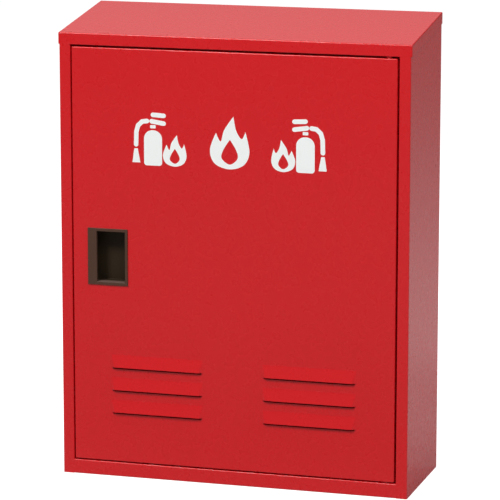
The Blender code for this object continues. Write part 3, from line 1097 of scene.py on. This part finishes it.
@dataclass
class DoorMarks:
    """Three white printed pictograms across the door, in its upper part.

    They are an extinguisher beside a flame, a flame alone, and the first one turned over.
    Their outlines are in millimetres from the middle of each field.
    """

    centres: tuple[float, ...] = (-0.1050, -0.0040, 0.0950)
    level: float = 0.482
    film: float = 0.00015
    sunk: float = 0.00009
    same_place: float = 0.000001
    stroke: float = 6.375
    foot: float = -36.5
    flame_height: float = 73.0
    small_flame_height: float = 44.0
    cap_steps: int = 8
    span_steps: int = 10
    least_mitre: float = 0.5

    def band(self, path: Outline) -> Outline:
        """Outlines a stroke with round ends.

        Args:
            path: the stroke's middle line.

        Returns:
            The closed outline.
        """
        points = [Vector((*point, 0)) for point in path]
        half = self.stroke / 2
        up = Vector((0, 0, 1))
        ways = [(b - a).normalized() for a, b in zip(points, points[1:])]
        rights = [ways[0].cross(up)]
        for first, second in zip(ways, ways[1:]):
            across = (first.cross(up) + second.cross(up)).normalized()
            rights.append(across / max(self.least_mitre, across.dot(first.cross(up))))
        rights.append(ways[-1].cross(up))
        right_side = [point + right * half for point, right in zip(points, rights)]
        left_side = [point - right * half for point, right in zip(points, rights)]
        turns = [math.pi * step / self.cap_steps for step in range(1, self.cap_steps)]
        ends = []
        for centre, way in ((points[-1], ways[-1]), (points[0], -ways[0])):
            across = way.cross(up) * half
            along = way * half
            ends.append(
                [centre + across * math.cos(turn) + along * math.sin(turn) for turn in turns]
            )
        whole = right_side + ends[0] + left_side[::-1] + ends[1]
        return [(point.x, point.y) for point in whole]

    def drop(self, path: Outline, tips: set[int]) -> Outline:
        """Draws a smooth closed line through points, sharp at its tips.

        Args:
            path: the points.
            tips: the numbers of the points that stay sharp.

        Returns:
            The closed outline.
        """
        count = len(path)
        points = [Vector((*point, 0)) for point in path]
        result = []
        for number in range(count):
            after = (number + 1) % count
            start, end = points[number], points[after]
            leave = Vector() if number in tips else (end - points[number - 1]) / 2
            reach = Vector() if after in tips else (points[(number + 2) % count] - start) / 2
            for step in range(self.span_steps):
                t = step / self.span_steps
                place = (
                    start * (2 * t**3 - 3 * t**2 + 1)
                    + leave * (t**3 - 2 * t**2 + t)
                    + end * (3 * t**2 - 2 * t**3)
                    + reach * (t**3 - t**2)
                )
                result.append((place.x, place.y))
        return result

    def round_box(self, low: Pair, high: Pair, top: float, bottom: float) -> Outline:
        """Outlines a box with round corners.

        Args:
            low: its lower left corner.
            high: its upper right corner.
            top: the radius of its upper corners.
            bottom: the radius of its lower corners.

        Returns:
            The closed outline.
        """
        corners = (
            (high[0] - bottom, low[1] + bottom, bottom, -90),
            (high[0] - top, high[1] - top, top, 0),
            (low[0] + top, high[1] - top, top, 90),
            (low[0] + bottom, low[1] + bottom, bottom, 180),
        )
        result = []
        for x, y, radius, start in corners:
            for step in range(self.cap_steps + 1):
                turn = math.radians(start + 90 * step / self.cap_steps)
                result.append((x + radius * math.cos(turn), y + radius * math.sin(turn)))
        return result

    def flame(self, centre: Pair, size: float) -> list[Outline]:
        """Outlines a flame with a hollow heart.

        Args:
            centre: the middle of its foot.
            size: its height.

        Returns:
            The outer line and the heart.
        """
        outer = [
            (0.00, 0.00),
            (-0.29, 0.10),
            (-0.38, 0.36),
            (-0.26, 0.68),
            (-0.17, 0.52),
            (-0.10, 0.74),
            (0.08, 1.00),
            (0.13, 0.74),
            (0.24, 0.58),
            (0.31, 0.72),
            (0.39, 0.34),
            (0.28, 0.09),
        ]
        heart = [
            (0.01, 0.09),
            (-0.15, 0.20),
            (-0.12, 0.36),
            (0.01, 0.56),
            (0.13, 0.37),
            (0.16, 0.21),
        ]
        place = lambda line: [(centre[0] + x * size, centre[1] + y * size) for x, y in line]
        return [self.drop(place(outer), {3, 6, 9}), self.drop(place(heart), {3})]

    def extinguisher(self) -> list[Outline]:
        """Outlines an extinguisher with its hose on the left and a flame on the right.

        Returns:
            The outlines of its parts, which don't touch.
        """
        tank = self.round_box((-21.5, self.foot), (4.5, 12.5), 12.0, 4.0)
        neck = self.round_box((-12.5, 15.2), (-4.5, 19.8), 1.2, 1.2)
        grip = self.band([(-10.5, 25.0), (7.0, 22.4)])
        lever = self.band([(-8.5, 34.0), (7.0, 33.2)])
        bends = [(-17.0, 25.0), (-24.0, 24.0), (-30.0, 18.5), (-32.5, 10.0), (-33.0, -8.0)]
        hose = self.band(bends)
        corners = [(-35.6, -13.5), (-30.6, -13.5), (-27.0, -33.0), (-38.5, -33.0)]
        horn = self.drop(corners, set(range(len(corners))))
        flame = self.flame((22.5, self.foot), self.small_flame_height)
        return [tank, neck, grip, lever, hose, horn, *flame]

    def outlines(self, mark: Mark) -> list[Outline]:
        """Draws a mark.

        Args:
            mark: which one.

        Returns:
            Its closed outlines.
        """
        if mark is Mark.FLAME:
            return self.flame((0.0, self.foot), self.flame_height)
        lines = self.extinguisher()
        if mark is Mark.MIRRORED:
            lines = [[(-x, y) for x, y in line] for line in lines]
        return lines

    def print_mark(self, mark: Mark, centre: float, front: float) -> Piece:
        """Cuts a mark from thin film and lays it on the door.

        Args:
            mark: which one.
            centre: where its middle is, across the door.
            front: the door's front plane.

        Returns:
            The finished film.
        """
        Bench.clear()
        name = "mark_" + mark.value
        curve = bpy.data.curves.new(name, "CURVE")
        curve.dimensions = "2D"
        curve.fill_mode = "BOTH"
        curve.extrude = (self.film + self.sunk) / 2
        for outline in self.outlines(mark):
            spline = curve.splines.new("POLY")
            spline.points.add(len(outline) - 1)
            for point, (x, y) in zip(spline.points, outline):
                point.co = (x / MILLIMETRES, y / MILLIMETRES, 0, 1)
            spline.use_cyclic_u = True
        film = bpy.data.objects.new(name, curve)
        bpy.context.scene.collection.objects.link(film)
        Bench.pick(film)
        bpy.ops.object.convert(target="MESH")
        film = bpy.context.object
        film.rotation_euler = (math.radians(90), 0, 0)
        film.location = (centre, front - (self.film - self.sunk) / 2, self.level)
        Bench.settle(film)
        Bench.edit(film)
        Bench.close(self.same_place)
        return film

    def build(self, white: Material) -> None:
        """Prints the three marks.

        Args:
            white: the print's material.
        """
        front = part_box("side_left")[0][1]
        for mark, centre in zip(Mark, self.centres):
            film = self.print_mark(mark, centre, front)
            Bench.fit(film, Body.DOOR, Slot.RED, white)


@dataclass
class PhotoCamera:
    """A long lens, a little above and to the right of the cabinet."""

    place: Triple = (1.1855, -3.9843, 1.1325)
    tilt: float = 79.323
    turn: float = 16.667
    focal_length: float = 218.12
    shift: Pair = (0.0093, -0.0442)

    def build(self) -> None:
        """Adds the camera and makes it the scene's own."""
        Bench.clear()
        aim = (math.radians(self.tilt), 0, math.radians(self.turn))
        bpy.ops.object.camera_add(location=self.place, rotation=aim)
        camera = bpy.context.object
        camera.name = "photo_camera"
        camera.data.lens = self.focal_length
        camera.data.shift_x, camera.data.shift_y = self.shift
        bpy.context.scene.camera = camera


@dataclass(frozen=True)
class SoftLamp:
    """One rectangular soft lamp, its power in watts."""

    name: str
    place: Triple
    size: Pair
    power: float
    aim: Triple = (0.0, 0.0, 0.32)

    def hang(self) -> None:
        """Hangs the lamp so that it faces its aim."""
        Bench.clear()
        bpy.ops.object.light_add(type="AREA", location=self.place)
        lamp = bpy.context.object
        lamp.name = self.name
        lamp.data.shape = "RECTANGLE"
        lamp.data.size, lamp.data.size_y = self.size
        lamp.data.energy = self.power
        towards = Vector(self.aim) - Vector(self.place)
        lamp.rotation_euler = towards.to_track_quat("-Z", "Y").to_euler()


@dataclass
class Studio:
    """A pale floor, two lamps in front, one at the right, and a soft sky with a dim horizon."""

    floor_size: float = 30.0
    sky_high: float = 0.71
    sky_front: float = 0.26
    sky_back: float = 0.12
    sky_lean: Triple = (-0.3, 0.4, 1.0)
    sky_edge: Pair = (0.66, 0.84)
    front_to_back: Pair = (-0.5, 0.5)
    lamps: tuple[SoftLamp, ...] = (
        SoftLamp("key_lamp", (-1.12, -2.45, 3.2), (0.75, 0.9), 88.0),
        SoftLamp("fill_lamp", (1.10, -2.45, 3.2), (1.4, 1.2), 38.0),
        SoftLamp("side_lamp", (2.6, -0.8, 1.9), (1.4, 1.4), 16.0),
    )

    def floor(self) -> None:
        """Lays the floor."""
        Bench.clear()
        bpy.ops.mesh.primitive_plane_add(size=self.floor_size, location=(0, 0, 0))
        plane = bpy.context.object
        plane.name = "studio_floor"
        plane.data.materials.append(StudioWhite().make())

    def sky_light(self) -> None:
        """Makes the world white to the camera, and to all else a sky with a dim horizon."""
        world = bpy.data.worlds.new("studio_world")
        world.use_nodes = True
        bpy.context.scene.world = world
        sky = Tree(world.node_tree)
        background = sky.tree.nodes["Background"]
        background.inputs["Color"].default_value = (1, 1, 1, 1)
        direction = sky.add("ShaderNodeTexCoord").outputs["Generated"]
        along = sky.axis(direction, "Y")
        horizon = sky.span(along, self.sky_front, self.sky_back, self.front_to_back)
        rise = sky.add("ShaderNodeVectorMath", operation="DOT_PRODUCT")
        rise.inputs[1].default_value = self.sky_lean
        sky.join(direction, rise.inputs[0])
        level = sky.span(rise.outputs["Value"], 0.0, self.sky_high, self.sky_edge)
        level.node.interpolation_type = "SMOOTHSTEP"
        sky.join(horizon, level.node.inputs["To Min"])
        seen = sky.add("ShaderNodeLightPath").outputs["Is Camera Ray"]
        strength = sky.span(seen, 0.0, 1.0)
        sky.join(level, strength.node.inputs["To Min"])
        sky.join(strength, background.inputs["Strength"])

    def build(self) -> None:
        """Sets the floor, the lamps and the world."""
        bpy.context.scene.view_settings.view_transform = "Standard"
        self.floor()
        for lamp in self.lamps:
            lamp.hang()
        self.sky_light()


def main() -> None:
    """Builds and dresses the cabinet, then sets the camera and the studio."""
    logging.basicConfig(level=logging.INFO, format="%(message)s")
    finishes = {
        Slot.RED: RedEnamel().make(),
        Slot.BROWN: BrownPlastic().make(),
        Slot.ZINC: ZincPlate().make(),
        Slot.BLACK: BlackPlastic().make(),
        Slot.RUBBER: GreyRubber().make(),
    }
    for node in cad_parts.values():
        slot = Slot(node.data.materials[0].name.split(".")[0])
        node.material_slots[0].material = finishes[slot]
    red = finishes[Slot.RED]
    CabinetShell().build(red)
    LOG.info("box sheets, rails, stops and lid")
    PivotCollars().build(red)
    LOG.info("pivot collars")
    DoorLeaf().build(red)
    LOG.info("door sheet with its louvres, and its stiffener")
    HandleCup().build(finishes[Slot.BROWN])
    LOG.info("recessed handle and its clamp plate")
    SmallFixings().build(finishes)
    LOG.info("spot welds and strike screws")
    DoorMarks().build(WhitePrint().make())
    LOG.info("white marks")
    PhotoCamera().build()
    LOG.info("camera")
    Studio().build()
    LOG.info("floor, lamps and sky")


if __name__ == "__main__":
    main()
